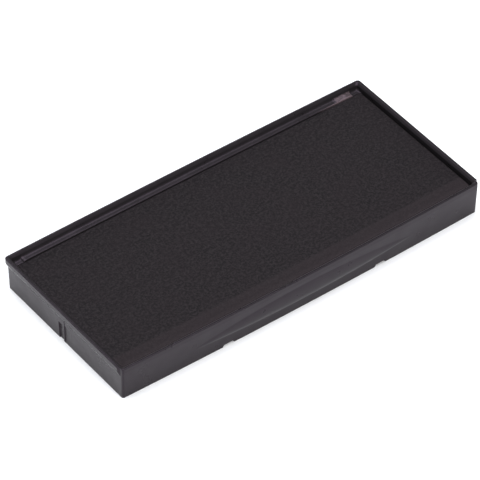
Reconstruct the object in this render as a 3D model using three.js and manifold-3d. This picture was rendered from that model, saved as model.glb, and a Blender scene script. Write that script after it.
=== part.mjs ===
// Ink pad cartridge for a self-inking stamp: a shallow moulded tray that holds an ink-soaked felt,
// a fine foam over it and a stretched cover cloth. Millimetres, +Z up, origin at the centre of the
// underside. X runs along the tray, -Y is the front with the finger grip, +Y is the back.
import * as THREE from 'three';
import { LoftGeometry } from 'three/addons/geometries/LoftGeometry.js';
import { mergeVertices } from 'three/addons/utils/BufferGeometryUtils.js';
import Module from 'manifold-3d';

// ---- driving dimensions ----
const LENGTH = 75;
const CORNER_WIDTH = 33.7;       // width of the rim at its corners
const FRONT_BOW = 0.49;          // how far the long sides bow out at mid-length
const BACK_BOW = 0.19;
const HEIGHT = 6.8;
const CORNER_RADIUS = 1.0;

const FLOOR = 1.0;
const RIM = { side: 0.9, front: 0.8, back: 0.72 };       // width of the rim, seen from above
const RIM_BEVEL = 0.35;                                  // inner bevel of the rim
const RIM_FILLET = 0.15;                                 // outer edge of the rim
const LIP = { face: 0.95, slope: 1.35, overhang: 0.35 }; // on the sides and back only
const LIP_END = 0.8;             // the side lips stop this far behind the front corners
const FOOT = { inset: 0.41, front: 0.33, chamfer: 0.3 }; // draft at the bottom of the walls
const THICK_WALL = { side: 1.3, front: 1.15, back: 0.95, from: 4.6, to: 5.0 };
const INNER_RADIUS = 0.4;        // of the cavity's corners

const SHELF = { halfLength: 34.8, frontY: 15.05, top: 5.85, radius: 0.6, root: 0.48 };
const LEDGE = { frontY: 15.35, top: 5.6 };               // fills the corners beyond the shelf
const GRIP = { halfLength: 23, bottom: 1.85, crest: 3.05, top: 5.2 };  // raised lens on the front
const NOTCH = { x: 15.9, width: 2.4, slope: 0.35, height: 0.45, reach: 2.5 };
const DETENT = {
  slot: { from: 0.65, to: 1.7, height: 3.7, depth: 0.3 },
  rib: { from: 0.2, to: 0.65, height: 5.0, proud: 0.2 },
  ramp: { from: -1.75, to: 0.2, height: 3.8, depth: 0.25 },
};

const PAD_GAP = 0.12;            // between the cloth and the tray
const CLOTH = { thickness: 0.25, skirtBottom: 1.4 };
const LAYER_GAP = 0.05;          // between the cloth and what it covers
const PAD_RADIUS = 0.5;          // of the pad's corners
const PAD_TOP = 5.85;
const PAD_SHOULDER = 5.1;        // where the cloth starts to turn over the top
const FRONT_SLOPE = 2.9;         // width of the margin that slopes to the front wall
const EDGE_ROLL = 0.8;           // width of the rolled edge on the other three sides
const ADHESIVE = { length: 60, width: 6, thickness: 0.15, y: 8 };
const FOAM_THICKNESS = 1.2;

// ---- derived ----
const HALF_LENGTH = LENGTH / 2;
const BACK_Y = (CORNER_WIDTH + FRONT_BOW - BACK_BOW) / 2;  // corners of the rim
const FRONT_Y = BACK_Y - CORNER_WIDTH;
const LIP_BOTTOM = HEIGHT - LIP.face;
const WALL_TOP = LIP_BOTTOM - LIP.slope;
const FAR = 5;                   // how far a cutter runs past what it cuts
const BITE = 0.2;                // how far an added rib runs into its wall

const LONG_STEPS = 20;           // points along a bowed long side
const CORNER_STEPS = 5;
const GRIP_STATIONS = 24;
const GRIP_ARC_STEPS = 10;
const ROLL_STEPS = 4;            // levels in the pad's rolled edge

const wasm = await Module();
wasm.setup();

// ---- helpers ----
function toSolid(geometry) {
  const bare = new THREE.BufferGeometry().copy(geometry);
  bare.deleteAttribute('normal');
  bare.deleteAttribute('uv');
  const merged = mergeVertices(bare);
  return new wasm.Manifold(new wasm.Mesh({
    numProp: 3,
    vertProperties: new Float32Array(merged.attributes.position.array),
    triVerts: new Uint32Array(merged.index.array),
  }));
}

function toGeometry(solid) {
  const mesh = solid.getMesh();
  const geometry = new THREE.BufferGeometry();
  geometry.setAttribute('position', new THREE.BufferAttribute(mesh.vertProperties, 3));
  geometry.setIndex(new THREE.BufferAttribute(mesh.triVerts, 1));
  geometry.computeVertexNormals();
  return geometry;
}

function bow(x, amount) {
  return amount * (1 - (x / HALF_LENGTH) ** 2);
}

// One level of the tray's outline, anticlockwise from above: a rounded rectangle set in from the
// rim's outer edge by its own amount on the sides, front and back, with both long sides bowed.
function outline({ z, side, front, back, radius }) {
  const right = HALF_LENGTH - side;
  const near = FRONT_Y + front;
  const far = BACK_Y - back;
  const points = [];
  const corner = (x, y, startAngle) => {
    for (let i = 0; i <= CORNER_STEPS; i++) {
      const angle = startAngle + (Math.PI / 2) * (i / CORNER_STEPS);
      points.push([x + radius * Math.cos(angle), y + radius * Math.sin(angle)]);
    }
  };
  const longSide = (fromX, toX, y) => {
    for (let i = 1; i < LONG_STEPS; i++) {
      points.push([fromX + (toX - fromX) * (i / LONG_STEPS), y]);
    }
  };
  const straight = right - radius;
  corner(-straight, near + radius, Math.PI);
  longSide(-straight, straight, near);
  corner(straight, near + radius, 1.5 * Math.PI);
  corner(straight, far - radius, 0);
  longSide(straight, -straight, far);
  corner(-straight, far - radius, Math.PI / 2);
  const middle = (near + far) / 2;
  return points.map(([x, y]) => {
    const shift = y < middle ? -bow(x, FRONT_BOW) : bow(x, BACK_BOW);
    return new THREE.Vector3(x, y + shift, z);
  });
}

function loft(sections) {
  return toSolid(new LoftGeometry(sections, { capStart: true, capEnd: true }));
}

function box(fromX, toX, fromY, toY, fromZ, toZ) {
  const geometry = new THREE.BoxGeometry(toX - fromX, toY - fromY, toZ - fromZ);
  geometry.translate((fromX + toX) / 2, (fromY + toY) / 2, (fromZ + toZ) / 2);
  return toSolid(geometry);
}

// An outline of [a, b] points in one plane, extruded: `place` turns it into the tray's frame.
function prism(points, depth, place) {
  const shape = new THREE.Shape(points.map(([a, b]) => new THREE.Vector2(a, b)));
  const geometry = new THREE.ExtrudeGeometry(shape, { depth, bevelEnabled: false });
  geometry.applyMatrix4(place);
  return toSolid(geometry);
}

// ---- tray ----
function trayBody() {
  const { inset, front, chamfer } = FOOT;
  const all = (z, by) => ({ z, side: by, front: by, back: by, radius: CORNER_RADIUS - by });
  const frontAt = (z) => front * (1 - (z - chamfer) / (LIP_BOTTOM - chamfer));
  return loft([
    { ...all(0, inset + chamfer), front: front + chamfer },
    { ...all(chamfer, inset), front: frontAt(chamfer) },
    { ...all(WALL_TOP, LIP.overhang), front: frontAt(WALL_TOP) },
    all(LIP_BOTTOM, 0),
    all(HEIGHT - RIM_FILLET, 0),
    all(HEIGHT, RIM_FILLET),
  ].map(outline));
}

function trayCavity() {
  const rim = { side: RIM.side, front: RIM.front, back: RIM.back, radius: INNER_RADIUS };
  const bevelled = {
    side: RIM.side - RIM_BEVEL,
    front: RIM.front - RIM_BEVEL,
    back: RIM.back - RIM_BEVEL,
    radius: INNER_RADIUS + RIM_BEVEL,
  };
  const thick = {
    side: THICK_WALL.side,
    front: THICK_WALL.front,
    back: THICK_WALL.back,
    radius: INNER_RADIUS,
  };
  return loft([
    { ...thick, z: FLOOR },
    { ...thick, z: THICK_WALL.from },
    { ...rim, z: THICK_WALL.to },
    { ...rim, z: HEIGHT - RIM_BEVEL },
    { ...bevelled, z: HEIGHT },
    { ...bevelled, z: HEIGHT + FAR },
  ].map(outline));
}

// The shelf inside the back wall: its front edge bows with the wall and is rounded at both ends.
function shelf() {
  const { halfLength, frontY, radius } = SHELF;
  const straight = halfLength - radius;
  const rootY = BACK_Y - SHELF.root;
  const shape = new THREE.Shape();
  shape.moveTo(-halfLength, rootY);
  shape.lineTo(-halfLength, frontY + radius);
  shape.absarc(-straight, frontY + radius, radius, Math.PI, 1.5 * Math.PI, false);
  for (let i = 1; i < LONG_STEPS; i++) {
    const x = straight * ((2 * i) / LONG_STEPS - 1);
    shape.lineTo(x, frontY + bow(x, BACK_BOW) - bow(straight, BACK_BOW));
  }
  shape.absarc(straight, frontY + radius, radius, 1.5 * Math.PI, 2 * Math.PI, false);
  shape.lineTo(halfLength, rootY);
  const geometry = new THREE.ExtrudeGeometry(shape, {
    depth: SHELF.top - FLOOR / 2,
    bevelEnabled: false,
    curveSegments: CORNER_STEPS,
  });
  geometry.translate(0, 0, FLOOR / 2);
  return toSolid(geometry);
}

// The ledge runs under the shelf from one side wall to the other, a little lower and set back.
function ledge() {
  const half = HALF_LENGTH - RIM.side + BITE;
  return box(-half, half, LEDGE.frontY, BACK_Y - SHELF.root, FLOOR / 2, LEDGE.top);
}

// The lens-shaped finger grip on the front wall: at each station an arc from its bottom over its
// crest to its top. The crest comes out as far as the rim above it. All of it is sunk a little into
// the wall, so that it tapers out before its ends.
function fingerGrip() {
  const sunk = 0.02;
  const smallest = 0.04;         // of the full height, at the two ends
  const draft = (z) => FOOT.front * (1 - z / LIP_BOTTOM);
  const sections = [];
  for (let i = 0; i <= GRIP_STATIONS; i++) {
    const t = -1 + (2 * i) / GRIP_STATIONS;
    const x = t * GRIP.halfLength;
    const share = 1 - t * t;
    const spread = Math.max(share, smallest);
    const bottom = GRIP.crest - (GRIP.crest - GRIP.bottom) * spread;
    const top = GRIP.crest + (GRIP.top - GRIP.crest) * spread;
    const proud = draft(GRIP.crest) * share;
    const wallY = (z) => FRONT_Y + draft(z) - bow(x, FRONT_BOW);
    const points = [
      new THREE.Vector3(x, wallY(bottom) + BITE, bottom),
      new THREE.Vector3(x, wallY(top) + BITE, top),
    ];
    for (let k = 0; k <= GRIP_ARC_STEPS; k++) {
      const s = 1 - (2 * k) / GRIP_ARC_STEPS;
      const z = GRIP.crest + Math.abs(s) * ((s > 0 ? top : bottom) - GRIP.crest);
      points.push(new THREE.Vector3(x, wallY(z) + sunk - proud * (1 - s * s), z));
    }
    sections.push(points);
  }
  return loft(sections);
}

// A shallow notch with sloped ends across the bottom front edge.
function notchCutter(x) {
  const half = NOTCH.width / 2;
  const deep = half - NOTCH.slope;
  const place = new THREE.Matrix4().makeBasis(
    new THREE.Vector3(1, 0, 0), new THREE.Vector3(0, 0, 1), new THREE.Vector3(0, -1, 0));
  place.setPosition(x, FRONT_Y + NOTCH.reach, 0);
  const profile = [
    [-half, -FAR], [half, -FAR], [half, 0],
    [deep, NOTCH.height], [-deep, NOTCH.height], [-half, 0],
  ];
  return prism(profile, NOTCH.reach + FAR, place);
}

// The locating detent in the middle of each short wall: a slot, a rib and a ramped recess.
// `end` is -1 on the left wall and +1 on the right. A recess is cut to its own depth at each end.
function detentCut(end) {
  const wallX = HALF_LENGTH - FOOT.inset;
  const recess = ({ from, to, height }, fromDepth, toDepth) => {
    const plan = [[fromDepth, from], [-FAR, from], [-FAR, to], [toDepth, to]];
    const points = plan.map(([depth, y]) => [end * (wallX - depth), y]);
    const ordered = end > 0 ? points : points.reverse();
    return prism(ordered, height + FAR, new THREE.Matrix4().makeTranslation(0, 0, -FAR));
  };
  const { slot, ramp } = DETENT;
  return recess(slot, slot.depth, slot.depth).add(recess(ramp, 0, ramp.depth));
}

function detentRib(end) {
  const { rib } = DETENT;
  const outer = HALF_LENGTH - FOOT.inset + rib.proud;
  const inner = HALF_LENGTH - THICK_WALL.side + BITE;
  const profile = [
    [inner, 0], [outer - FOOT.chamfer, 0], [outer, FOOT.chamfer],
    [outer, rib.height], [inner, rib.height],
  ].map(([x, z]) => [end * x, z]);
  const place = new THREE.Matrix4().makeBasis(
    new THREE.Vector3(1, 0, 0), new THREE.Vector3(0, 0, 1), new THREE.Vector3(0, -1, 0));
  place.setPosition(0, rib.to, 0);
  return prism(end > 0 ? profile : profile.reverse(), rib.to - rib.from, place);
}

// Takes the side lip off between the front corner and where the lip stops.
function lipEndCut(end) {
  const wall = HALF_LENGTH - LIP.overhang;
  const [fromX, toX] = end > 0 ? [wall, wall + FAR] : [-wall - FAR, -wall];
  return box(fromX, toX, FRONT_Y - FAR, FRONT_Y + LIP_END, -FAR, HEIGHT + FAR);
}

function tray() {
  let solid = trayBody().subtract(trayCavity()).add(ledge()).add(shelf());
  solid = solid.add(fingerGrip());
  for (const side of [-1, 1]) {
    solid = solid.subtract(notchCutter(side * NOTCH.x));
    solid = solid.subtract(lipEndCut(side));
    solid = solid.subtract(detentCut(side)).add(detentRib(side));
  }
  return solid;
}

// ---- pad ----
// The stack of soft layers as one form, `inward` smaller all round, from the front wall to the shelf.
// Its top slopes to the front wall and rolls over on the other three sides.
function padForm({ inward, bottom, top, shoulder }) {
  const wall = {
    side: THICK_WALL.side + PAD_GAP + inward,
    front: THICK_WALL.front + PAD_GAP + inward,
    back: BACK_Y - SHELF.frontY + PAD_GAP + inward,
    radius: PAD_RADIUS,
  };
  const sections = [{ ...wall, z: bottom }];
  for (let i = 0; i <= ROLL_STEPS; i++) {
    const t = i / ROLL_STEPS;
    const roll = 1 - Math.sqrt(1 - t * t);
    sections.push({
      side: wall.side + EDGE_ROLL * roll,
      front: wall.front + FRONT_SLOPE * t,
      back: wall.back + EDGE_ROLL * roll,
      radius: wall.radius,
      z: shoulder + (top - shoulder) * t,
    });
  }
  return loft(sections.map(outline));
}

const COVERED_TOP = PAD_TOP - CLOTH.thickness - LAYER_GAP;
const COVERED_SHOULDER = PAD_SHOULDER - CLOTH.thickness - LAYER_GAP;
const COVERED_INWARD = CLOTH.thickness + LAYER_GAP;
const FELT_BOTTOM = FLOOR + ADHESIVE.thickness;
const FELT_TOP = COVERED_TOP - FOAM_THICKNESS;

function coverCloth() {
  const outer = padForm({
    inward: 0,
    bottom: CLOTH.skirtBottom,
    top: PAD_TOP,
    shoulder: PAD_SHOULDER,
  });
  const inner = padForm({
    inward: CLOTH.thickness,
    bottom: CLOTH.skirtBottom - FAR,
    top: PAD_TOP - CLOTH.thickness,
    shoulder: PAD_SHOULDER - CLOTH.thickness,
  });
  return outer.subtract(inner);
}

function coveredStack() {
  return padForm({
    inward: COVERED_INWARD,
    bottom: FELT_BOTTOM,
    top: COVERED_TOP,
    shoulder: COVERED_SHOULDER,
  });
}

function layer(fromZ, toZ) {
  const slab = box(-HALF_LENGTH, HALF_LENGTH, -CORNER_WIDTH, CORNER_WIDTH, fromZ, toZ);
  return coveredStack().intersect(slab);
}

function adhesiveStrip(y) {
  const { length, width, thickness } = ADHESIVE;
  return box(-length / 2, length / 2, y - width / 2, y + width / 2, FLOOR, FLOOR + thickness);
}

// ---- materials and assembly ----
const trayPlastic = { color: 0x2b292c, roughness: 0.32, metalness: 0 };
const inkedFelt = { color: 0x1d1c1f, roughness: 0.95, metalness: 0 };
const inkedFoam = { color: 0x222124, roughness: 0.9, metalness: 0 };
const inkedCloth = { color: 0x2f2c2f, roughness: 0.85, metalness: 0 };
const adhesiveFilm = { color: 0xb9ab8c, roughness: 0.4, metalness: 0 };

const group = new THREE.Group();

function addPart(name, solid, look) {
  const mesh = new THREE.Mesh(toGeometry(solid), new THREE.MeshStandardMaterial(look));
  mesh.name = name;
  group.add(mesh);
}

addPart('tray', tray(), trayPlastic);
addPart('adhesive_strip_front', adhesiveStrip(-ADHESIVE.y), adhesiveFilm);
addPart('adhesive_strip_back', adhesiveStrip(ADHESIVE.y), adhesiveFilm);
addPart('reservoir_felt', layer(FELT_BOTTOM, FELT_TOP), inkedFelt);
addPart('transfer_foam', layer(FELT_TOP, COVERED_TOP + FAR), inkedFoam);
addPart('cover_cloth', coverCloth(), inkedCloth);

export default group;
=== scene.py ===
import math

import bmesh
import bpy
import numpy as np
from mathutils import Matrix, Vector


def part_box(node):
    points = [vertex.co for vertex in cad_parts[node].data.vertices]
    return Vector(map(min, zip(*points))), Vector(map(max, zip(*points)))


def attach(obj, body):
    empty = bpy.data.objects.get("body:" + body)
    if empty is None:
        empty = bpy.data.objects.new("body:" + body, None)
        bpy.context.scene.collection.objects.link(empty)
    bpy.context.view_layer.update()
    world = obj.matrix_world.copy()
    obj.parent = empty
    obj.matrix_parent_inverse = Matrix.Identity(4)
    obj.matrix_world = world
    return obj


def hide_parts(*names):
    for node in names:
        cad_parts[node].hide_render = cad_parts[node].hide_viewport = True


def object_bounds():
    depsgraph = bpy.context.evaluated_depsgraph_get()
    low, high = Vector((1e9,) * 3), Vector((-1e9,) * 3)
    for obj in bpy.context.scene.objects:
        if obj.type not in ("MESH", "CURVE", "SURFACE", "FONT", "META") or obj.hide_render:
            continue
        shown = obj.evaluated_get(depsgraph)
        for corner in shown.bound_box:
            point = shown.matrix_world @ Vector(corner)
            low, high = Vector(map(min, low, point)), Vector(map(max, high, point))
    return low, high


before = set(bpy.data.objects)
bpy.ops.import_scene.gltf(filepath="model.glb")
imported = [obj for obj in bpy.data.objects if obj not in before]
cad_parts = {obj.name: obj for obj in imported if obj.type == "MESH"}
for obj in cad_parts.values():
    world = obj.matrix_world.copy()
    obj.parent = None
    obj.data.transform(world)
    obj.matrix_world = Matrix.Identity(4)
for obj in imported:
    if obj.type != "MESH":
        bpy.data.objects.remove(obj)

MM = 0.001
cad_low, cad_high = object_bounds()


def node_span(node, axis):
    """Lowest and highest place of a CAD node along one axis, in millimetres."""
    low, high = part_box(node)
    return low[axis] / MM, high[axis] / MM


# ---- sizes, in millimetres ----
FRONT_BOW = 0.49                 # how far the long sides bow out at mid-length
BACK_BOW = 0.19
HALF_LENGTH = cad_high[0] / MM
FRONT = cad_low[1] / MM + FRONT_BOW     # corners of the rim
BACK = cad_high[1] / MM - BACK_BOW
HEIGHT = cad_high[2] / MM
FLOOR = 1.0                      # the tray's thickness under the pad
LIP_FACE = 0.95
LIP_BOTTOM = HEIGHT - LIP_FACE   # from here down the surface leans in, as far as the wall's top
WALL_TOP = {"front": LIP_BOTTOM - 1.35, "side": LIP_BOTTOM - 0.95, "back": LIP_BOTTOM - 0.95}
OVERHANG = 0.35                  # of the lip on the sides and back
LIP_END = 0.55                   # the side lips stop this far behind the front corners
FOOT = {"side": 0.41, "front": 0.33, "back": 0.41}      # the wall's inset at the underside
RIM = {"side": 0.9, "front": 0.8, "back": 0.72}         # widths
RIM_BEVEL = 0.35
THICK = {"side": 1.3, "front": 1.15}                    # of the wall below the step inside
STEP = {"middle": 5.5, "top": 5.05, "bottom": 4.65}     # levels where the wall thickens inside
LEVELS_END = 3.0                 # inset where the levels end and the surface closes on its spine
SPINE_SHARE = 0.6                # the spine's length as a share of the piece's
FRONT_CORNER = 0.5               # plan radii at the rim's outer edge
BACK_CORNER = 0.65
INNER_CORNER = 0.4

SHELF_HALF = 34.8
SHELF_INSET = 1.95
SHELF_FRONT = BACK - SHELF_INSET
SHELF_TOP = 5.85
SHELF_CORNER = 0.6
SHELF_ROOT = 0.3                 # the shelf's top starts this far in from the rim
MARKS = {"first": 31.2, "pitch": 0.45, "count": 6, "height": 0.07}     # plain ribs at its right end
HIGHLIGHT_EDGE_FROM = 27.0            # from here to that end the shelf's edge is painted pale, a painted highlight
LEDGE_INSET = 1.9                # beyond the shelf's ends a lower ledge fills the corners
LEDGE_TOP = 5.55

GRIP = {"half": 23.0, "bottom": 1.85, "crest": 3.05, "top": 5.2, "proud": 0.24}
NOTCH = {"x": 15.9, "half": 1.2, "deep": 0.85, "height": 0.45, "reach": 2.5}
# The slot, rib and ramp of each short wall run from one place along Y to the other.
SLOT = {"from": 0.3, "to": 1.6, "top": 3.7, "depth": 0.22}
RIB = {"from": -0.1, "to": 0.3, "top": 5.0, "proud": 0.08, "chamfer": 0.3}
RAMP = {"from": -1.75, "to": -0.1, "top": 3.8, "depth": 0.06}

SKIRT_BOTTOM, PAD_TOP = node_span("cover_cloth", 2)
FOAM_BOTTOM, FOAM_TOP = node_span("transfer_foam", 2)
FELT_BOTTOM, FELT_TOP = node_span("reservoir_felt", 2)
PAD_GAP = 0.12
CLOTH_THICKNESS = 0.25
THREAD_PITCH = 0.24
UNDER_CLOTH = 0.3                # from the cloth's outside to the layers it covers
PAD_SHOULDER = 5.4               # where the pad's edge starts to roll over
FRONT_SHOULDER = 5.1
FRONT_SLOPE = 2.9
FRONT_SWELL = 0.12               # how far the slope at the front bulges, as a share of its height
EDGE_ROLL = 0.5
CROWN = 0.05                     # the top's rise towards the middle
FLARE = (4.72, 5.15)             # between these heights the pad widens over the thick wall
FRONT_FOLD = FRONT + 4.2         # where the cloth starts down to the front wall, laid flat


# ---- the tray's outline and what follows it ----
def samples(low, high, step, *clusters):
    """Places from low to high every step, joined by finer runs (from, to, step) and thinned where
    two would lie closer than a hundredth of a millimetre."""
    runs = [np.linspace(low, high, int(round((high - low) / step)) + 1)]
    for start, end, fine in clusters:
        runs.append(np.linspace(start, end, int(round((end - start) / fine)) + 1))
    places = np.unique(np.round(np.concatenate(runs), 4))
    keep = np.append(True, np.diff(places) > 0.012)
    keep[-1] = True
    return places[keep]


CORNER_X = HALF_LENGTH - BACK_CORNER        # where the straight stretches end, nominally
CORNER_Y = {"front": FRONT + FRONT_CORNER - OVERHANG, "back": BACK - BACK_CORNER}
STEADY_X = 33.0                  # out to here a place along the outline is the same at every level
STEADY_Y = {"front": FRONT + 6.5, "back": BACK - 4.5}
LIP_STOP = FRONT + LIP_END


def mirrored(*clusters):
    """The clusters and their mirror images about zero."""
    return [*clusters, *[(-end, -start, fine) for start, end, fine in clusters]]


def outline_columns(x_step, y_step, corner_steps, x_clusters=(), y_clusters=()):
    """The columns that every level of a piece shares, anticlockwise from the front left corner: the
    place of each along X and Y, and the direction it faces."""
    along_x = samples(-CORNER_X, CORNER_X, x_step, *x_clusters)
    along_y = samples(CORNER_Y["front"], CORNER_Y["back"], y_step, *y_clusters)
    turn = np.linspace(0, 90, corner_steps + 1)[1:-1]
    front, back = CORNER_Y["front"], CORNER_Y["back"]
    runs = [
        (along_x, front, -90),
        (CORNER_X, front, turn - 90),
        (CORNER_X, along_y, 0),
        (CORNER_X, back, turn),
        (along_x[::-1], back, 90),
        (-CORNER_X, back, turn + 90),
        (-CORNER_X, along_y[::-1], 180),
        (-CORNER_X, front, turn + 180),
    ]
    joined = [np.concatenate(part) for part in zip(*[np.broadcast_arrays(*run) for run in runs])]
    x, y, angle = (values.astype(float) for values in joined)
    return {"x": x, "y": y, "cos": np.cos(np.radians(angle)), "sin": np.sin(np.radians(angle))}


def stretched(place, steady, end, new_end):
    """A place beyond `steady` moves in proportion, so that `end` lands on `new_end`."""
    beyond = np.maximum(np.abs(place) - np.abs(steady), 0)
    share = beyond / (np.abs(end) - np.abs(steady))
    return np.sign(place) * (np.abs(place) - beyond + share * (np.abs(new_end) - np.abs(steady)))


def shelf_share(x):
    """1 along the shelf and 0 beyond it, falling as a quarter circle at its rounded ends."""
    past = np.abs(x) - (SHELF_HALF - SHELF_CORNER)
    return np.sqrt(np.clip(1 - (np.clip(past, 0, None) / SHELF_CORNER) ** 2, 0, 1))


def bowed(points):
    """Moves points in Y so that the long sides bow: the shift is a parabola in X, and runs evenly
    from the front's bow to the back's across the width."""
    x, y = points[..., 0], points[..., 1]
    across = np.clip((y - FRONT) / (BACK - FRONT), 0, 1)
    amount = -FRONT_BOW * (1 - across) + BACK_BOW * across
    points[..., 1] = y + amount * (1 - (x / HALF_LENGTH) ** 2)
    return points


def levels(columns, profiles):
    """A grid of points, one row for each level of the profiles. A profile is a list of (inset, z):
    the outline at that level is the rim's outline set in by the inset of the side, front and back
    profiles. The back follows the shelf's own profile where the shelf runs. Around a corner the
    height passes from one profile's to the other's with the square of the facing direction."""
    side, front, back, shelf = (profiles[k] for k in ("side", "front", "back", "shelf"))
    x, y, cos, sin = (columns[k][None, :] for k in ("x", "y", "cos", "sin"))
    at_front = y < 0
    side_inset = side[:, :1] + 0 * x
    has_lip = (y > LIP_STOP) & (np.abs(cos) > 0.999) | (y > 0)
    side_inset = np.where(has_lip, side_inset, np.maximum(side_inset, OVERHANG))
    corner = np.where(at_front, FRONT_CORNER, BACK_CORNER)
    radius = np.maximum(corner - side_inset, INNER_CORNER)
    centre_x = stretched(x, STEADY_X, CORNER_X, HALF_LENGTH - side_inset - radius)
    place_x = centre_x + radius * cos
    on_shelf = shelf_share(place_x)
    back_inset = back[:, :1] + (shelf[:, :1] - back[:, :1]) * on_shelf
    back_z = back[:, 1:] + (shelf[:, 1:] - back[:, 1:]) * on_shelf
    near = FRONT + front[:, :1] + radius
    far = BACK - back_inset - radius
    centre_y = np.where(
        at_front,
        stretched(y, STEADY_Y["front"], CORNER_Y["front"], near),
        stretched(y, STEADY_Y["back"], CORNER_Y["back"], far),
    )
    long_z = np.where(at_front, front[:, 1:], back_z)
    z = side[:, 1:] * cos ** 2 + long_z * sin ** 2
    return np.stack(np.broadcast_arrays(place_x, centre_y + radius * sin, z), axis=-1)


def to_spine(columns, ring, steps):
    """Levels that close a ring onto the spine, a line along the middle of the piece: each point
    moves evenly to the spine point of its own column."""
    t = (np.arange(1, steps + 1) / steps)[:, None]
    spine_x = columns["x"] * SPINE_SHARE
    x = ring[:, 0] + (spine_x - ring[:, 0]) * t
    y = ring[:, 1] * (1 - t)
    return np.stack([x, y, ring[:, 2] + 0 * t], axis=-1)


# ---- profiles ----
def rounded(corners, radii, stretches, arc_steps=5):
    """A profile through the corners, with an arc of its radius at each corner but the first and
    last, as a rational curve of weight cos(half the turn). stretches[k] holds the shares along the
    straight run after corner k at which points are added. Returns the points, and where each
    corner's own points start."""
    corners = np.array(corners, float)
    before, after = corners[1:-1] - corners[:-2], corners[2:] - corners[1:-1]
    length_before = np.linalg.norm(before, axis=1)
    length_after = np.linalg.norm(after, axis=1)
    before, after = before / length_before[:, None], after / length_after[:, None]
    half_turn = 0.5 * np.arccos(np.clip((before * after).sum(1), -1, 1))
    most = 0.48                  # of a straight run that one arc may take
    reach = np.array(radii) * np.tan(half_turn)
    reach = np.minimum(reach, most * np.minimum(length_before, length_after))[:, None]
    middle, weight = corners[1:-1], np.cos(half_turn)
    starts, ends = middle - before * reach, middle + after * reach
    u = np.linspace(0, 1, arc_steps + 1)[:, None]
    rows, marks, last = [corners[:1]], [0], corners[0]
    for k in range(len(middle) + 1):
        target = starts[k] if k < len(middle) else corners[-1]
        share = np.array(stretches[k], float)[:, None]
        rows.append(last + (target - last) * share)
        if k < len(middle):
            blend = (1 - u) ** 2 + 2 * u * (1 - u) * weight[k] + u ** 2
            arc = (1 - u) ** 2 * starts[k] + 2 * u * (1 - u) * weight[k] * middle[k] + u ** 2 * ends[k]
            marks.append(sum(map(len, rows)))
            rows.append(arc / blend)
            last = ends[k]
    rows.append(corners[-1:])
    return np.concatenate(rows), marks


def even(count):
    """Shares of a stretch at `count` even places inside it."""
    return np.arange(1, count + 1) / (count + 1)


# ---- meshes ----
def mesh_object(name, rows, flat=None):
    """Puts a grid of points (rows x columns x 3, millimetres) into a closed-round mesh whose faces
    look outward: a face runs along the column direction, then along the row direction. Points that
    meet on a spine are welded. `flat` gives each point's place in the flat cloth as the UV map."""
    count_rows, count_columns = rows.shape[:2]
    index = np.arange(count_rows * count_columns).reshape(count_rows, count_columns)
    across = np.roll(index, -1, axis=1)
    faces = np.stack([index[:-1], across[:-1], across[1:], index[1:]], axis=-1).reshape(-1, 4)
    mesh = bpy.data.meshes.new(name)
    mesh.from_pydata((rows.reshape(-1, 3) * MM).tolist(), [], faces.tolist())
    if flat is not None:
        layer = mesh.uv_layers.new(name="flat")
        corners = flat.reshape(-1, 2)[faces.reshape(-1)]
        layer.data.foreach_set("uv", corners.astype(np.float32).ravel())
    shape = bmesh.new()
    shape.from_mesh(mesh)
    bmesh.ops.remove_doubles(shape, verts=shape.verts, dist=0.002 * MM)
    shape.to_mesh(mesh)
    shape.free()
    mesh.shade_smooth()
    made = bpy.data.objects.new(name, mesh)
    bpy.context.scene.collection.objects.link(made)
    return made


# ---- tray ----
def smooth_step(value, low, high):
    """0 below low, 1 above high, and a smooth cubic between."""
    t = np.clip((value - low) / (high - low), 0, 1)
    return t * t * (3 - 2 * t)


def band(value, low, high, edge):
    """1 between low and high and 0 outside, changing over `edge` at both ends."""
    rising = np.clip((value - low) / edge + 0.5, 0, 1)
    falling = np.clip((high - value) / edge + 0.5, 0, 1)
    return np.minimum(rising, falling)


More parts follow.
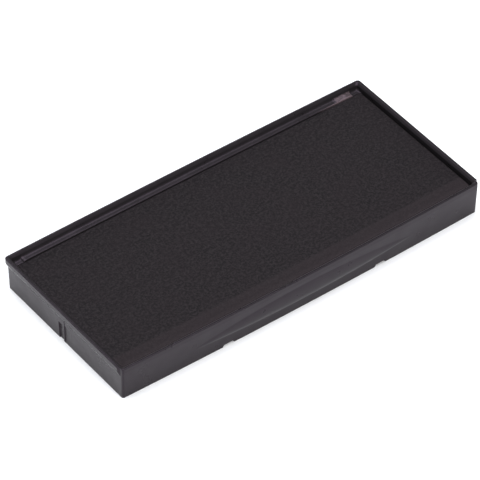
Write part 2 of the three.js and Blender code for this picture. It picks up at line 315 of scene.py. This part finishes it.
def tray_profiles():
    """The tray's profile from the underside out, up the wall, over the rim and down to the floor,
    for the short sides, the front, the back, and the back where the shelf runs. Faces lean by a few
    hundredths of a millimetre so that the moulding draws."""
    corners = {}
    for name in ("side", "front", "back", "shelf"):
        wall = "back" if name == "shelf" else name
        foot, rim = FOOT[wall], RIM[wall]
        draft = foot * (1 - WALL_TOP[wall] / LIP_BOTTOM)
        upper = draft if name == "front" else OVERHANG
        if wall == "back":
            edge, top = (SHELF_INSET, SHELF_TOP) if name == "shelf" else (LEDGE_INSET, LEDGE_TOP)
            inner = [(rim + SHELF_ROOT, top), (edge, top), (edge + 0.02, STEP["top"]),
                     (edge + 0.03, STEP["bottom"]), (edge + 0.06, FLOOR)]
        else:
            inner = [(rim + 0.02, SHELF_TOP), (rim + 0.03, STEP["middle"]), (rim + 0.05, STEP["top"]),
                     (THICK[wall], STEP["bottom"]), (THICK[wall], FLOOR)]
        corners[name] = [
            (LEVELS_END, 0), (foot, 0), (upper, WALL_TOP[wall]), (0, LIP_BOTTOM), (0, HEIGHT),
            (rim - RIM_BEVEL, HEIGHT), (rim, HEIGHT - RIM_BEVEL), *inner, (LEVELS_END, FLOOR),
        ]
    # One radius for each corner and one set of added points for each straight run, foot to floor.
    radii = [0.08, 0.12, 0.12, 0.1, 0.12, 0.12, 0.4, 0.2, 0.1, 0.3, 0.3]
    foot_end, wall_end = 0.36, 4.45          # the front wall's straight run, which sets the shares
    grip_edge = (1.74, 1.9, 0.04)            # finer at the grip's bottom edge
    detent_tops = (3.34, 3.5, 0.04)          # and on the short walls at the slot's and ramp's tops
    wall_levels = samples(0.5, 4.4, 0.15, grip_edge, detent_tops)
    slope_shares = np.array([0.1, 0.2, 0.26, 0.3, 0.34, 0.38, 0.41, 0.44, 0.5, 0.6, 0.7, 0.8, 0.9])
    stretches = [
        [0.12, 0.17, 0.2, 0.22, 0.3, 0.5, 0.7, 0.85],
        (wall_levels - foot_end) / (wall_end - foot_end),
        slope_shares,
        even(3), even(2), even(2), even(4), even(5), even(2), even(2), even(6), even(2),
    ]
    made = {name: rounded(corners[name], radii, stretches) for name in corners}
    return {name: made[name][0] for name in made}, made["side"][1]


def tray_columns():
    """Columns for the tray, finer at the notches, the shelf's ends, the marks and the detents."""
    notch_edges = [(NOTCH["x"] + side * edge - 0.06, NOTCH["x"] + side * edge + 0.06, 0.06)
                   for side in (-1, 1) for edge in (NOTCH["half"], NOTCH["deep"])]
    shelf_ends = (SHELF_HALF - 1.0, SHELF_HALF + 0.8, 0.09)
    marks = (MARKS["first"] - 0.6, SHELF_HALF - 1.0, 0.1)
    x_clusters = mirrored(*notch_edges, shelf_ends) + [marks]
    detent_edges = [(edge - 0.04, edge + 0.04, 0.04)
                    for edge in (SLOT["from"], SLOT["to"], RIB["from"], RAMP["from"])]
    y_clusters = [(-1.9, 1.9, 0.15), *detent_edges, (LIP_STOP - 0.02, LIP_STOP + 0.02, 0.04)]
    return outline_columns(0.62, 0.62, 10, x_clusters, y_clusters)


def raise_grip(points):
    """Brings the front wall out by proud (1 - t^2)(1 - s^2), with t along the grip and s from its
    crest to its top or bottom edge, which close in on the crest as 1 - t^2."""
    z = points[..., 2]
    share = np.clip(1 - (points[..., 0] / GRIP["half"]) ** 2, 0, 1)
    height = np.where(z > GRIP["crest"], GRIP["top"] - GRIP["crest"], GRIP["crest"] - GRIP["bottom"])
    s = (z - GRIP["crest"]) / (height * np.maximum(share, 0.01))
    points[..., 1] -= GRIP["proud"] * share * np.clip(1 - s ** 2, 0, 1)


def cut_notches(points, inset):
    """Lifts the bottom front edge at each notch, and squeezes the wall just above it to suit."""
    from_middle = np.abs(np.abs(points[..., 0]) - NOTCH["x"])
    share = np.clip((NOTCH["half"] - from_middle) / (NOTCH["half"] - NOTCH["deep"]), 0, 1)
    lift = NOTCH["height"] * share * band(inset, -1, NOTCH["reach"], 0.1)
    squeeze_to = 2 * NOTCH["height"]
    z = points[..., 2]
    points[..., 2] = np.where(z < squeeze_to, lift + z * (1 - lift / squeeze_to), z)


def shape_detents(points):
    """On each short wall, sets a slot and a ramp in and stands a rib out between them."""
    x, y, z = (points[..., k] for k in range(3))
    face = HALF_LENGTH - FOOT["side"]
    edge = 0.06
    slot = SLOT["depth"] * band(y, SLOT["from"], SLOT["to"], edge) * (z < SLOT["top"])
    slope = np.clip((y - RAMP["from"]) / (RAMP["to"] - RAMP["from"]), 0, 1)
    ramp = RAMP["depth"] * slope * band(y, RAMP["from"] - 1, RAMP["to"], edge) * (z < RAMP["top"])
    deepest = face - np.maximum(slot, ramp)
    recessed = np.where(np.maximum(slot, ramp) > 0.001, np.minimum(np.abs(x), deepest), np.abs(x))
    rib = band(y, RIB["from"], RIB["to"], edge) * np.clip(z / RIB["chamfer"], 0, 1)
    points[..., 0] = np.sign(x) * (recessed + RIB["proud"] * rib * (z < RIB["top"]))


def raise_marks(points):
    """Raises a row of plain short ribs on the shelf near its right end: a clipped cosine in X."""
    x, y = points[..., 0], points[..., 1]
    number = (x - MARKS["first"]) / MARKS["pitch"]
    wave = np.clip(1.6 * np.cos(2 * math.pi * number) - 0.2, 0, 1)
    inside = (number > -0.4) & (number < MARKS["count"] - 0.6)
    reach = band(BACK - y, RIM["back"] + 0.14, SHELF_INSET - 0.16, 0.1)
    points[..., 2] += MARKS["height"] * wave * inside * reach


def build_tray():
    """The whole moulding: its levels, then the details of each wall on the rows and columns that
    carry them, then the underside and the floor closed on the spine."""
    columns = tray_columns()
    profiles, corner_rows = tray_profiles()
    points = levels(columns, profiles)
    lip_end = corner_rows[5]
    foot_rows, wall_rows = slice(0, corner_rows[2]), slice(corner_rows[1], corner_rows[4])
    shelf_rows = slice(corner_rows[7], corner_rows[9])
    facing_front = columns["sin"] < -0.99
    facing_back = columns["sin"] > 0.99
    facing_side = np.abs(columns["cos"]) > 0.99

    front_points = points[:, facing_front]
    inset = profiles["front"][:, :1] + 0 * front_points[..., 2]
    cut_notches(front_points[foot_rows], inset[foot_rows])
    raise_grip(front_points[wall_rows])
    points[:, facing_front] = front_points

    side_points = points[:lip_end, facing_side]
    shape_detents(side_points)
    points[:lip_end, facing_side] = side_points

    shelf_points = points[shelf_rows, facing_back]
    raise_marks(shelf_points)
    points[shelf_rows, facing_back] = shelf_points

    under = to_spine(columns, points[0], 3)[::-1]
    floor = to_spine(columns, points[-1], 2)
    return mesh_object("tray_shell", bowed(np.concatenate([under, points, floor])))


# ---- pad ----
def pad_profiles(inward, bottom, top, shoulder):
    """Profiles of the pad's form, `inward` smaller all round: up beside the thick wall, out over it
    to the rim's inner face, then a rolled edge, which is a quarter ellipse, or at the front a slope.
    Along the back the edge goes straight up before it rolls."""
    t = np.linspace(0, 1, 13)
    roll = 1 - np.sqrt(1 - t ** 2)
    raised = 0.38 * inward       # a layer further in widens higher up
    wall_z = np.linspace(bottom, FLARE[0] + raised, 8)
    flare_z = np.linspace(FLARE[0], FLARE[1], 4)[1:] + raised
    widened = smooth_step(np.linspace(0, 1, 4)[1:], 0, 1)
    start = max(shoulder, flare_z[-1] + 0.02)
    made = {}
    for name in ("side", "front", "back", "shelf"):
        along_shelf = name in ("shelf", "back")
        wall = (SHELF_INSET + PAD_GAP / 2 if along_shelf else THICK[name] + PAD_GAP) + inward
        edge = wall if along_shelf else RIM[name] + 0.05 + PAD_GAP / 2 + inward
        if name == "front":
            first = max(FRONT_SHOULDER - inward, flare_z[-1] - 0.02)
            over = FRONT_SLOPE * t
            z = first + (top - first) * (t + FRONT_SWELL * np.sin(math.pi * t) * t)
        else:
            over = (EDGE_ROLL - inward) * roll
            z = start + (top - start) * t
        inset = np.concatenate([np.full(8, wall), wall + (edge - wall) * widened, edge + over])
        made[name] = np.stack([inset, np.concatenate([wall_z, flare_z, z])], axis=-1)
    return made


def flat_profiles(profiles):
    """The same levels laid flat: the inset at the top less the length run along the profile."""
    made = {}
    for name, profile in profiles.items():
        step = np.linalg.norm(np.diff(profile, axis=0), axis=1)
        run = np.append(np.cumsum(step[::-1])[::-1], 0)
        made[name] = np.stack([profile[-1, 0] - run, profile[:, 1]], axis=-1)
    return made


def pad_columns():
    """Columns for the pad's layers and the cloth, finer towards the ends."""
    return outline_columns(1.0, 1.0, 8, mirrored((33.4, 36.2, 0.15)))


def crown(points, height):
    """The stretched top stands a little higher towards the middle: height times the root of the
    product of a parabola along the pad and one across it."""
    along = np.clip(1 - (points[..., 0] / HALF_LENGTH) ** 2, 0, 1)
    across = np.clip(1 - (points[..., 1] / (0.5 * (BACK - FRONT))) ** 2, 0, 1)
    return height * np.sqrt(along * across)


def build_cloth():
    """The cloth over the pad, as one open surface with its flat shape for a UV map, thickened
    inwards."""
    columns = pad_columns()
    profiles = pad_profiles(0.0, SKIRT_BOTTOM, PAD_TOP - CROWN, PAD_SHOULDER)
    points = levels(columns, profiles)
    flat = levels(columns, flat_profiles(profiles))
    top_steps = 14
    points = np.concatenate([points, to_spine(columns, points[-1], top_steps)])
    flat = np.concatenate([flat, to_spine(columns, flat[-1], top_steps)])[..., :2]
    above = smooth_step(points[..., 2], PAD_SHOULDER, PAD_TOP)
    points[..., 2] += above * crown(points, CROWN)
    made = mesh_object("stretched_cloth", bowed(points), flat)
    thickness = made.modifiers.new("cloth thickness", "SOLIDIFY")
    thickness.thickness = CLOTH_THICKNESS * MM
    thickness.offset = -1
    return made


def build_layer(name, bottom, top, form_top, form_shoulder, bulge):
    """One soft layer: the pad's form under the cloth, cut between two heights, with its edge
    swelling by `bulge` at mid-height as a pressed layer's does."""
    columns = pad_columns()
    profiles = pad_profiles(UNDER_CLOTH, FELT_BOTTOM, form_top, form_shoulder)
    cut = {}
    shares = np.linspace(0, 1, 11)
    for key, profile in profiles.items():
        top_here = min(top, profile[-1, 1])
        z = bottom + (top_here - bottom) * shares
        inset = np.interp(z, profile[:, 1], profile[:, 0])
        inset = inset + bulge * (2 * shares - 1) ** 2
        cut[key] = np.stack([inset, z], axis=-1)
    points = levels(columns, cut)
    under = to_spine(columns, points[0], 10)[::-1]
    over = to_spine(columns, points[-1], 10)
    return mesh_object(name, bowed(np.concatenate([under, points, over])))


# ---- materials ----
class Value:
    """A node's output. Sums, differences and products of it add Math nodes."""

    def __init__(self, finish, socket):
        self.finish = finish
        self.socket = socket

    def math(self, operation, *terms, clamp=False):
        return self.finish.node("ShaderNodeMath", {"operation": operation, "use_clamp": clamp},
                                dict(enumerate(terms)))

    def __add__(self, other):
        return self.math("ADD", self, other)

    def __radd__(self, other):
        return self.math("ADD", other, self)

    def __sub__(self, other):
        return self.math("SUBTRACT", self, other)

    def __rsub__(self, other):
        return self.math("SUBTRACT", other, self)

    def __mul__(self, other):
        return self.math("MULTIPLY", self, other)

    def __rmul__(self, other):
        return self.math("MULTIPLY", other, self)

    def sine(self):
        return self.math("SINE", self)

    def clamped(self):
        return self.math("ADD", self, 0.0, clamp=True)


class Finish:
    """One procedural material: a Principled surface and the nodes that feed it."""

    def __init__(self, name, **constants):
        self.material = bpy.data.materials.new(name)
        self.material.use_nodes = True
        self.tree = self.material.node_tree
        self.surface = self.tree.nodes["Principled BSDF"]
        for socket, value in constants.items():
            self.surface.inputs[socket.replace("_", " ")].default_value = value

    def node(self, kind, settings=None, inputs=None, output=0):
        """Adds a node: its settings first, then the values or links of its sockets."""
        made = self.tree.nodes.new(kind)
        for setting, value in (settings or {}).items():
            setattr(made, setting, value)
        for socket, value in (inputs or {}).items():
            self.feed(made.inputs[socket], value)
        return Value(self, made.outputs[output])

    def feed(self, socket, value):
        if isinstance(value, Value):
            self.tree.links.new(value.socket, socket)
        else:
            socket.default_value = value

    def millimetres(self, stretch=(1, 1, 1)):
        """Object coordinates in millimetres, each axis multiplied by its stretch."""
        place = self.node("ShaderNodeTexCoord", output="Object")
        scale = tuple(s / MM for s in stretch)
        return self.node("ShaderNodeVectorMath", {"operation": "MULTIPLY"}, {0: place, 1: scale})

    def axes(self, place):
        """The three parts of a place, as numbers."""
        parts = self.node("ShaderNodeSeparateXYZ", None, {0: place}).socket.node
        return [Value(self, parts.outputs[axis]) for axis in "XYZ"]

    def noise(self, place, scale, detail=2.0, roughness=0.5, distortion=0.0):
        """Noise about 0.5 with `scale` features to the millimetre."""
        return self.node("ShaderNodeTexNoise", None, {
            "Vector": place, "Scale": scale, "Detail": detail, "Roughness": roughness,
            "Distortion": distortion}, "Fac")

    def cells(self, place, scale):
        """Distance from the middle of the nearest cell, with `scale` cells to the millimetre."""
        return self.node("ShaderNodeTexVoronoi", None, {"Vector": place, "Scale": scale}, "Distance")

    def mix(self, share, first, second):
        """A colour share of the way from the first to the second."""
        return self.node("ShaderNodeMix", {"data_type": "RGBA"}, {0: share, 6: first, 7: second}, 2)

    def bump(self, height, distance, strength=1.0, under=None):
        """Relief of `height` times `distance` millimetres, on top of another bump if given."""
        inputs = {"Height": height, "Distance": distance * MM, "Strength": strength}
        if under is not None:
            inputs["Normal"] = under
        return self.node("ShaderNodeBump", None, inputs)

    def finish(self, **links):
        for socket, value in links.items():
            self.feed(self.surface.inputs[socket.replace("_", " ")], value)
        return self.material


def paint(piece, material):
    """Makes the material the piece's only one."""
    piece.data.materials.clear()
    piece.data.materials.append(material)


def moulded_plastic():
    """Black polystyrene: satin gloss with a faint spark-eroded grain and slow waviness, and a pale
    patch of painted reflection at the shelf's right end, with a painted highlight along its edge
    there."""
    look = Finish("moulded_plastic", IOR=1.31, Specular_Tint=(0.98, 0.74, 0.97, 1))
    place = look.millimetres()
    cloudy = look.noise(place, 0.35, 3)
    grain = look.noise(place, 7.0, 2)
    waves = look.noise(place, 0.22, 1)
    colour = look.mix(cloudy, (0.0125, 0.0112, 0.0120, 1), (0.0165, 0.0148, 0.0158, 1))
    x, y, z = look.axes(place)
    # Noise that breaks up the painted reflection at the shelf's right end.
    reflection_mottle = look.noise(place, 2.0, 3, 0.7)
    # Where the painted reflection goes: the shelf's right end, and its front edge from a set place to
    # that end, on the shelf's top only.
    before_end = ((SHELF_HALF + 0.1 - x) * 4.0).clamped()
    end = ((x - MARKS["first"]) * 2.0).clamped() * before_end
    edge = ((x - HIGHLIGHT_EDGE_FROM) * 0.25).clamped() * before_end
    edge = edge * ((SHELF_FRONT + 0.23 - y) * 12.0).clamped()
    on_shelf = ((y - SHELF_FRONT + 0.15) * 8.0).clamped() * ((SHELF_FRONT + 1.35 - y) * 8.0).clamped()
    on_shelf = on_shelf * ((z - SHELF_TOP + 0.45) * 8.0).clamped()
    on_shelf = on_shelf * ((SHELF_TOP + 0.3 - z) * 8.0).clamped()
    # Painted reflection and highlight: the shelf's right end, broken up by noise, and its edge there
    # are mixed towards a pale pink, as if lit.
    painted_reflection = (end * (reflection_mottle * 3.0 - 0.9).clamped() + edge * 0.8).clamped()
    colour = look.mix(painted_reflection * on_shelf, colour, (0.105, 0.078, 0.085, 1))
    gloss = 0.24 + 0.10 * cloudy
    relief = look.bump(grain, 0.004, under=look.bump(waves, 0.12))
    return look.finish(Base_Color=colour, Roughness=gloss, Normal=relief)


def inked_cloth():
    """Fine plain-woven cloth, black with ink: the product of a sine along and one across, with noise
    for uneven threads and wet patches, and painted sheen that makes it paler where it is pulled down
    to the front, palest towards the front edge."""
    look = Finish("inked_cloth", IOR=1.33, Specular_Tint=(1.0, 0.88, 0.97, 1))
    flat = look.node("ShaderNodeUVMap", {"uv_map": "flat"})
    wander = look.noise(flat, 0.6, 2)
    along, across, _ = look.axes(flat)
    turns = 2 * math.pi / THREAD_PITCH
    warp = (along * turns + wander * 3.0).sine()
    weft = (across * turns + wander * 3.0).sine()
    weave = 0.5 + 0.5 * (warp * weft)
    fibres = look.noise(flat, 2.6, 3, 0.7)
    slubs = look.noise(flat, 1.4, 2)
    patches = look.noise(flat, 0.16, 3)
    shade = (5.0 * fibres + 0.25 * weave + 1.4 * slubs - 2.93).clamped()
    colour = look.mix(shade, (0.0, 0.0, 0.0, 1), (0.0182, 0.0154, 0.0162, 1))
    warm = (patches * 2.4 - 0.8).clamped()
    colour = look.mix(warm * 0.4, colour, (0.0105, 0.0070, 0.0080, 1))
    # Painted sheen: where the cloth slopes down to the front it is painted paler, and paler still
    # towards the front edge, for the light it catches there.
    painted_front_sheen = ((FRONT_FOLD - across) * 2.5).clamped()
    colour = look.mix(painted_front_sheen * 0.45, colour, (0.0245, 0.0185, 0.0200, 1))
    edge = ((FRONT_FOLD - 1.6 - across) * 0.7).clamped()
    colour = look.mix(edge * 0.6, colour, (0.0380, 0.0300, 0.0320, 1))
    relief = look.bump(weave * 0.6 + fibres, 0.10)
    return look.finish(Base_Color=colour, Roughness=0.62 + 0.25 * fibres, Normal=relief)


def inked_foam():
    """Fine open-pored foam, black with ink."""
    look = Finish("inked_foam", IOR=1.4)
    place = look.millimetres()
    pores = look.cells(place, 5.0)
    patches = look.noise(place, 0.4, 2)
    colour = look.mix((pores * 1.6).clamped(), (0.006, 0.006, 0.007, 1), (0.034, 0.032, 0.035, 1))
    relief = look.bump(pores, 0.09)
    return look.finish(Base_Color=colour, Roughness=0.55 + 0.35 * patches, Normal=relief)


def inked_felt():
    """Dense pressed felt, black with ink: short tangled fibres in layers."""
    look = Finish("inked_felt", IOR=1.4)
    fibres = look.noise(look.millimetres((0.35, 0.35, 1.6)), 4.0, 4, 0.7, 1.5)
    tufts = look.noise(look.millimetres(), 1.1, 2)
    colour = look.mix((fibres * 0.7 + tufts * 0.3), (0.006, 0.006, 0.007, 1), (0.030, 0.029, 0.032, 1))
    relief = look.bump(fibres, 0.12)
    return look.finish(Base_Color=colour, Roughness=0.75 + 0.2 * tufts, Normal=relief)


def adhesive_film():
    """Clear-amber transfer adhesive, slightly rippled, with small trapped bubbles."""
    look = Finish("adhesive_film", IOR=1.47)
    place = look.millimetres()
    ripple = look.noise(place, 0.5, 2)
    bubbles = look.cells(place, 1.3)
    spots = (1 - bubbles * 4.0).clamped()
    colour = look.mix(ripple, (0.42, 0.36, 0.25, 1), (0.56, 0.50, 0.37, 1))
    relief = look.bump(ripple + spots * 0.5, 0.03)
    return look.finish(Base_Color=colour, Roughness=0.28 + 0.2 * ripple, Normal=relief)


# ---- the object ----
def place_piece(piece, slot, material, *nodes):
    """Paints a piece, gives it its body and hides the nodes that it stands for. The slot is not used.
    """
    paint(piece, material)
    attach(piece, "root")
    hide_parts(*nodes)
    return piece


tray = place_piece(build_tray(), "tray_plastic", moulded_plastic(), "tray")

cloth = place_piece(build_cloth(), "inked_cloth", inked_cloth(), "cover_cloth")

foam = place_piece(
    build_layer("fine_foam", FOAM_BOTTOM, FOAM_TOP, FOAM_TOP, PAD_SHOULDER - UNDER_CLOTH, 0.12),
    "inked_foam", inked_foam(), "transfer_foam")

felt = place_piece(
    build_layer("pressed_felt", FELT_BOTTOM, FELT_TOP, FOAM_TOP, PAD_SHOULDER - UNDER_CLOTH, 0.15),
    "inked_felt", inked_felt(), "reservoir_felt")

film = adhesive_film()
for strip in ("adhesive_strip_front", "adhesive_strip_back"):
    paint(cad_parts[strip], film)


# ---- floor, light and camera ----
def build_floor():
    """A wide flat sheet that curves up far behind, as a grid along a profile."""
    half, steps = 1.5, 24
    across = np.linspace(-half, half, 7)
    turn = np.linspace(0, math.pi / 2, steps)
    radius = 0.6
    y = np.concatenate([[-half], half + radius * np.sin(turn)])
    z = np.concatenate([[0], radius * (1 - np.cos(turn))])
    points = np.stack(np.broadcast_arrays(across[None, :], y[:, None], z[:, None]), axis=-1)
    count_rows, count_columns = points.shape[:2]
    index = np.arange(count_rows * count_columns).reshape(count_rows, count_columns)
    faces = np.stack([index[:-1, :-1], index[:-1, 1:], index[1:, 1:], index[1:, :-1]], axis=-1)
    mesh = bpy.data.meshes.new("floor")
    mesh.from_pydata(points.reshape(-1, 3).tolist(), [], faces.reshape(-1, 4).tolist())
    mesh.shade_smooth()
    made = bpy.data.objects.new("floor", mesh)
    bpy.context.scene.collection.objects.link(made)
    paint(made, Finish("floor_paper", Base_Color=(0.9, 0.9, 0.9, 1), Roughness=0.9, IOR=1.3,
                       Emission_Color=(1, 1, 1, 1), Emission_Strength=0.06).material)
    return made


def area_light(name, place, aim, size, power, colour=(1, 1, 1)):
    """A rectangular lamp at a place, turned to face `aim`."""
    data = bpy.data.lights.new(name, "AREA")
    data.shape = "RECTANGLE"
    data.size, data.size_y = size
    data.energy = power
    data.color = colour
    made = bpy.data.objects.new(name, data)
    made.location = place
    made.rotation_euler = (Vector(aim) - Vector(place)).to_track_quat("-Z", "Y").to_euler()
    bpy.context.scene.collection.objects.link(made)
    return made


def build_camera():
    """Looks from the front left and above, through a long lens."""
    azimuth, elevation, roll = math.radians(-36.17), math.radians(43.19), math.radians(-0.75)
    distance, aside, up_by, aim_y = 658.1 * MM, -0.765 * MM, 1.505 * MM, 0.15 * MM
    back = Vector((math.sin(azimuth) * math.cos(elevation), -math.cos(azimuth) * math.cos(elevation),
                   math.sin(elevation)))
    right = Vector((math.cos(azimuth), math.sin(azimuth), 0))
    up = back.cross(right)
    turned_right = right * math.cos(roll) + up * math.sin(roll)
    turned_up = up * math.cos(roll) - right * math.sin(roll)
    data = bpy.data.cameras.new("camera")
    data.sensor_width = 36
    data.lens = 291.075
    data.clip_start, data.clip_end = 0.01, 10
    made = bpy.data.objects.new("camera", data)
    centre = Vector((0, aim_y, 0)) + back * distance + turned_right * aside + turned_up * up_by
    turn = Matrix((turned_right, turned_up, back)).transposed().to_4x4()
    made.matrix_world = Matrix.Translation(centre) @ turn
    bpy.context.scene.collection.objects.link(made)
    bpy.context.scene.camera = made


def build_world(strength):
    """An even white surround."""
    world = bpy.data.worlds.new("studio")
    world.use_nodes = True
    background = world.node_tree.nodes["Background"]
    background.inputs["Color"].default_value = (1, 1, 1, 1)
    background.inputs["Strength"].default_value = strength
    bpy.context.scene.world = world


build_floor()
build_world(0.16)
area_light("overhead", (-0.05, 0.15, 1.1), (0, 0, 0), (1.2, 1.2), 19, (0.97, 1.0, 1.05))
area_light("front_fill", (-0.1, -0.75, 0.8), (0, 0, 0), (0.7, 0.7), 7)
area_light("back_edge", (0.55, 1.0, 0.22), (0, 0, 0), (1.8, 0.4), 2)
build_camera()
bpy.context.scene.view_settings.view_transform = "Standard"
